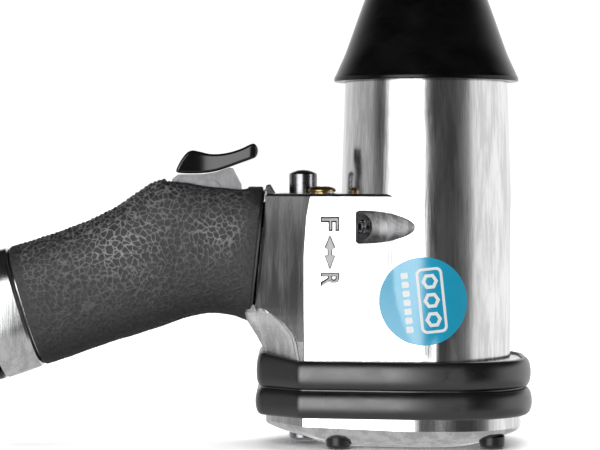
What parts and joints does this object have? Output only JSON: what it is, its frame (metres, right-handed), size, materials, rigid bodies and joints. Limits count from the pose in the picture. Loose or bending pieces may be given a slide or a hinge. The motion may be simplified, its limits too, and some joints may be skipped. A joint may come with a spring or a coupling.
{
  "type": "pistol-grip air impact wrench",
  "caption": "Pistol-grip air impact wrench with square drive, twin-hammer clutch, vane motor, trigger valve and push-through reverse spool.",
  "frame": {"origin": "where the drive axis meets the flat pad of the rear cover; the four rear screw heads end at the same height", "axes": "+Z along the drive axis towards the square drive, -X towards the handle, Y across the tool"},
  "size_m": [0.2221, 0.0742, 0.2055],
  "materials": {
    "polished_aluminium": "polished casting with vertical grain",
    "black_plastic": "glossy black",
    "black_rubber": "semi-gloss black",
    "grip_rubber": "matt dark grey with a moulded cell texture",
    "dark_steel": "dark polished",
    "satin_steel": "satin",
    "black_oxide": "black oxide",
    "yellow_zinc": "yellow zinc plate",
    "bronze": "satin bronze",
    "blue_label": "glossy blue label with a white emblem",
    "seal_rubber": "matt black",
    "gasket_paper": "pressed fibre sheet",
    "felt": "grey felt",
    "vane_composite": "brown phenolic composite"
  },
  "bodies": {
    "housing": {"main_housing": "polished_aluminium", "rear_cover": "polished_aluminium", "rear_gasket": "gasket_paper", "rubber_bumper": "black_rubber", "cover_screw_1": "black_oxide", "cover_screw_2": "black_oxide", "cover_screw_3": "black_oxide", "cover_screw_4": "black_oxide", "nose_housing": "satin_steel", "nose_boot": "black_plastic", "anvil_bushing": "bronze", "anvil_seal": "seal_rubber", "rear_end_plate": "satin_steel", "front_end_plate": "satin_steel", "rear_bearing": "dark_steel", "front_bearing": "dark_steel", "motor_cylinder": "satin_steel", "motor_dowel": "satin_steel", "reverse_bushing": "bronze", "spool_retainer": "satin_steel", "retainer_washer": "yellow_zinc", "retainer_screw": "yellow_zinc", "trigger_pin": "satin_steel", "stem_bush": "bronze", "throttle_seat": "bronze", "throttle_spring": "satin_steel", "rubber_grip": "grip_rubber", "exhaust_deflector": "black_plastic", "inlet_bushing": "satin_steel", "inlet_o_ring": "seal_rubber", "inlet_screen": "bronze", "exhaust_muffler": "felt", "badge": "blue_label", "oil_port_screw": "dark_steel"},
    "trigger": {"trigger_pad": "black_plastic", "trigger_lever": "satin_steel"},
    "throttle": {"throttle_stem": "satin_steel", "throttle_valve": "seal_rubber"},
    "spool": {"reverse_spool": "dark_steel", "spool_o_ring_rear": "seal_rubber", "spool_o_ring_front": "seal_rubber"},
    "motor": {"rotor": "satin_steel", "vane_1": "vane_composite", "vane_2": "vane_composite", "vane_3": "vane_composite", "vane_4": "vane_composite", "vane_5": "vane_composite", "vane_6": "vane_composite", "hammer_cage": "satin_steel", "hammer_pin_1": "satin_steel", "hammer_pin_2": "satin_steel"},
    "front_hammer_body": {"front_hammer": "satin_steel"},
    "rear_hammer_body": {"rear_hammer": "satin_steel"},
    "drive": {"anvil": "satin_steel", "drive_o_ring": "seal_rubber", "socket_retaining_ring": "satin_steel"}
  },
  "joints": [
    {"name": "trigger_pull", "type": "hinge", "parent": "housing", "child": "trigger", "pos_m": [-0.086, 0, 0.092], "axis": [0, 1, 0], "range_deg": [0, 10], "stiffness_Nm_per_rad": 0.6, "springref_deg": -11.46},
    {"name": "throttle_slide", "type": "slide", "parent": "housing", "child": "throttle", "axis": [0, 0, 1], "range_m": [-0.0016, 0], "deforming": ["throttle_spring"]},
    {"name": "reverse_shift", "type": "slide", "parent": "housing", "child": "spool", "axis": [0, 0, 1], "range_m": [-0.006, 0]},
    {"name": "motor_spin", "type": "hinge", "parent": "housing", "child": "motor", "pos_m": [0, 0, 0.05], "axis": [0, 0, 1], "continuous": true},
    {"name": "drive_spin", "type": "hinge", "parent": "housing", "child": "drive", "pos_m": [0, 0, 0.15], "axis": [0, 0, 1], "continuous": true},
    {"name": "front_hammer_rock", "type": "hinge", "parent": "motor", "child": "front_hammer_body", "pos_m": [-0.0174, 0, 0.105], "axis": [0, 0, 1], "range_deg": [-5, 5]},
    {"name": "rear_hammer_rock", "type": "hinge", "parent": "motor", "child": "rear_hammer_body", "pos_m": [0.0174, 0, 0.089], "axis": [0, 0, 1], "range_deg": [-5, 5]}
  ],
  "couplings": [
    {"joint": "throttle_slide", "follows": "trigger_pull", "m_per_rad": -0.0086},
    {"joint": "drive_spin", "follows": "motor_spin", "ratio": 1}
  ]
}
